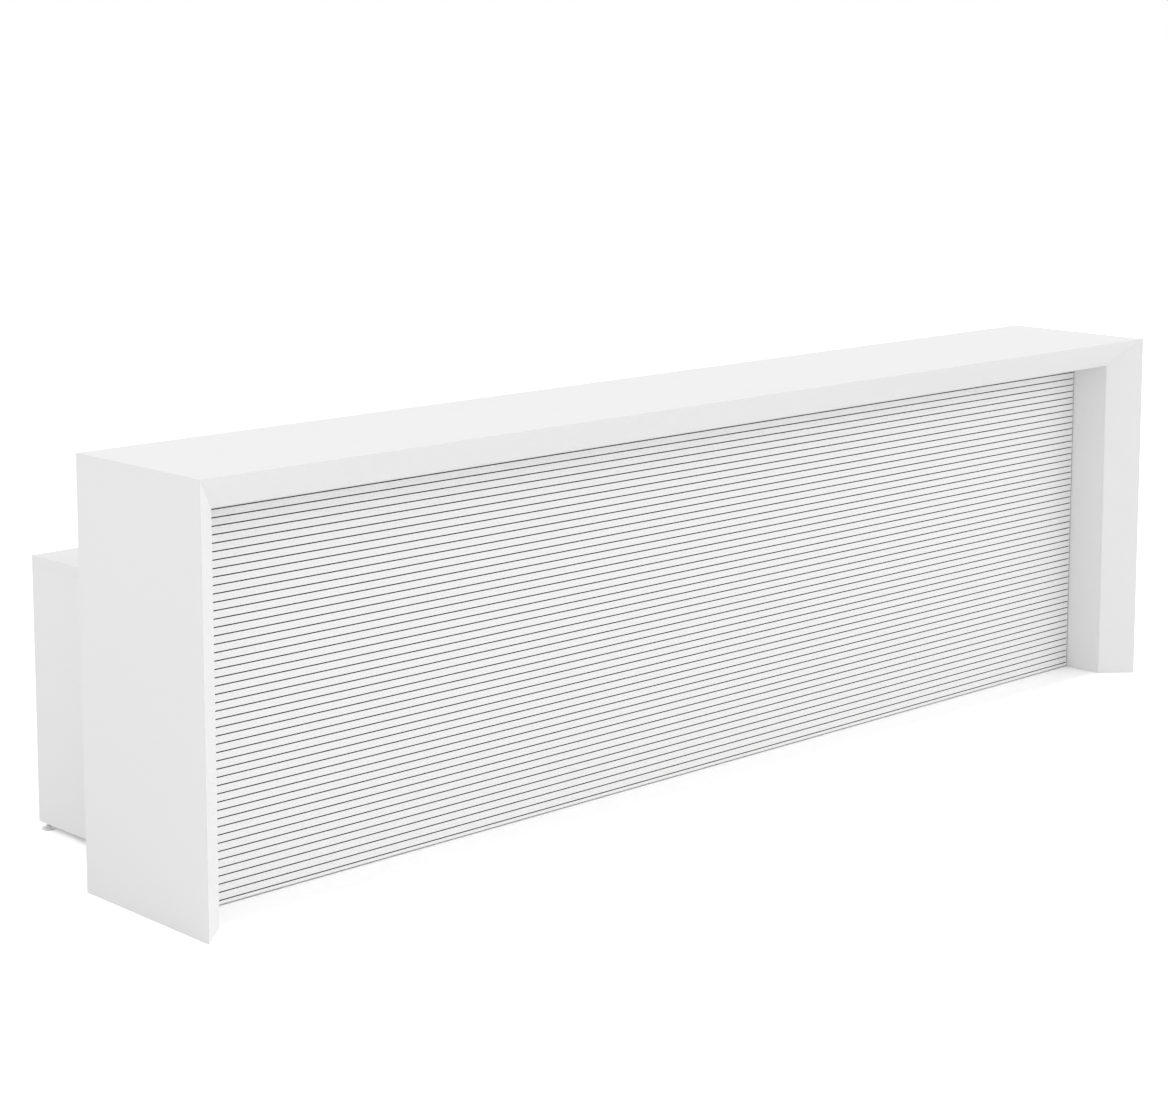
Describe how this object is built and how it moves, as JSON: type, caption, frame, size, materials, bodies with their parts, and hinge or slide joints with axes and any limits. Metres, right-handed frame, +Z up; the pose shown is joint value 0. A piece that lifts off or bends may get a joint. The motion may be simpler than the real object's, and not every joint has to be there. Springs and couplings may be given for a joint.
{
  "type": "reception desk",
  "caption": "Long white reception desk: a mitred, bevel-edged portal counter over a grooved front wall, with a lower staff worktop, cable trays, grommets and levelling feet behind.",
  "frame": {"origin": "on the floor under the middle of the whole desk", "axes": "+X along the desk, to the right for a visitor facing it, -Y towards the visitor, +Z up"},
  "size_m": [3.69, 1.04, 1.1],
  "materials": {
    "white_laminate": "white laminated board, satin",
    "grooved_panel": "white laminated board milled through to a dark core",
    "white_edge_band": "satin edge band",
    "core_timber": "planed softwood",
    "coated_steel": "light grey powder coat",
    "zinc_steel": "bright zinc plating",
    "grey_plastic": "fine moulded texture",
    "white_plastic": "satin moulded caps",
    "foot_plastic": "moulded pad on a plated stem"
  },
  "bodies": {
    "desk": {"left_gable_outer": "white_laminate", "left_gable_inner": "white_laminate", "left_gable_bevel": "white_laminate", "left_gable_rear": "white_laminate", "left_gable_core": "core_timber", "right_gable_outer": "white_laminate", "right_gable_inner": "white_laminate", "right_gable_bevel": "white_laminate", "right_gable_rear": "white_laminate", "right_gable_core": "core_timber", "counter_top_board": "white_laminate", "counter_underside": "white_laminate", "counter_bevel": "white_laminate", "counter_rear": "white_laminate", "counter_core": "core_timber", "corner_blocks": "core_timber", "mitre_splines": "core_timber", "front_panel": "grooved_panel", "front_wall_frame": "core_timber", "lining_left": "white_laminate", "lining_right": "white_laminate", "wall_bolts": "zinc_steel", "wall_nuts": "zinc_steel", "wall_screws": "zinc_steel", "screw_covers": "white_plastic", "worktop_left": "white_laminate", "worktop_right": "white_laminate", "worktop_edge_bands": "white_edge_band", "left_end_panel": "white_laminate", "right_end_panel": "white_laminate", "middle_support": "white_laminate", "support_edge_bands": "white_edge_band", "worktop_ledgers": "white_laminate", "worktop_beams": "coated_steel", "seam_plate": "coated_steel", "left_cable_tray": "coated_steel", "right_cable_tray": "coated_steel", "angle_brackets": "coated_steel", "bracket_screws": "zinc_steel", "underside_screws": "zinc_steel", "dowels": "core_timber", "left_grommet_ring": "grey_plastic", "right_grommet_ring": "grey_plastic", "foot_sleeves": "zinc_steel"},
    "left_grommet_cap": {"left_grommet_cap": "grey_plastic"},
    "right_grommet_cap": {"right_grommet_cap": "grey_plastic"},
    "foot_left_gable_front": {"foot_left_gable_front": "foot_plastic"},
    "foot_right_gable_front": {"foot_right_gable_front": "foot_plastic"},
    "foot_left_gable_rear": {"foot_left_gable_rear": "foot_plastic"},
    "foot_right_gable_rear": {"foot_right_gable_rear": "foot_plastic"},
    "foot_left_end_front": {"foot_left_end_front": "foot_plastic"},
    "foot_right_end_front": {"foot_right_end_front": "foot_plastic"},
    "foot_left_end_rear": {"foot_left_end_rear": "foot_plastic"},
    "foot_right_end_rear": {"foot_right_end_rear": "foot_plastic"},
    "foot_wall_left": {"foot_wall_left": "foot_plastic"},
    "foot_wall_right": {"foot_wall_right": "foot_plastic"},
    "foot_middle_front": {"foot_middle_front": "foot_plastic"},
    "foot_middle_rear": {"foot_middle_rear": "foot_plastic"}
  },
  "joints": [
    {"name": "left_grommet_turn", "type": "hinge", "parent": "desk", "child": "left_grommet_cap", "pos_m": [-0.8165, -0.086, 0.741], "axis": [0, 0, 1], "continuous": true},
    {"name": "right_grommet_turn", "type": "hinge", "parent": "desk", "child": "right_grommet_cap", "pos_m": [0.8165, -0.086, 0.741], "axis": [0, 0, 1], "continuous": true},
    {"name": "foot_left_gable_front_height", "type": "slide", "parent": "desk", "child": "foot_left_gable_front", "axis": [0, 0, -1], "range_m": [0, 0.012]},
    {"name": "foot_right_gable_front_height", "type": "slide", "parent": "desk", "child": "foot_right_gable_front", "axis": [0, 0, -1], "range_m": [0, 0.012]},
    {"name": "foot_left_gable_rear_height", "type": "slide", "parent": "desk", "child": "foot_left_gable_rear", "axis": [0, 0, -1], "range_m": [0, 0.012]},
    {"name": "foot_right_gable_rear_height", "type": "slide", "parent": "desk", "child": "foot_right_gable_rear", "axis": [0, 0, -1], "range_m": [0, 0.012]},
    {"name": "foot_left_end_front_height", "type": "slide", "parent": "desk", "child": "foot_left_end_front", "axis": [0, 0, -1], "range_m": [-0.005, 0.012]},
    {"name": "foot_right_end_front_height", "type": "slide", "parent": "desk", "child": "foot_right_end_front", "axis": [0, 0, -1], "range_m": [-0.005, 0.012]},
    {"name": "foot_left_end_rear_height", "type": "slide", "parent": "desk", "child": "foot_left_end_rear", "axis": [0, 0, -1], "range_m": [-0.005, 0.012]},
    {"name": "foot_right_end_rear_height", "type": "slide", "parent": "desk", "child": "foot_right_end_rear", "axis": [0, 0, -1], "range_m": [-0.005, 0.012]},
    {"name": "foot_wall_left_height", "type": "slide", "parent": "desk", "child": "foot_wall_left", "axis": [0, 0, -1], "range_m": [-0.005, 0.012]},
    {"name": "foot_wall_right_height", "type": "slide", "parent": "desk", "child": "foot_wall_right", "axis": [0, 0, -1], "range_m": [-0.005, 0.012]},
    {"name": "foot_middle_front_height", "type": "slide", "parent": "desk", "child": "foot_middle_front", "axis": [0, 0, -1], "range_m": [-0.005, 0.012]},
    {"name": "foot_middle_rear_height", "type": "slide", "parent": "desk", "child": "foot_middle_rear", "axis": [0, 0, -1], "range_m": [-0.005, 0.012]}
  ]
}
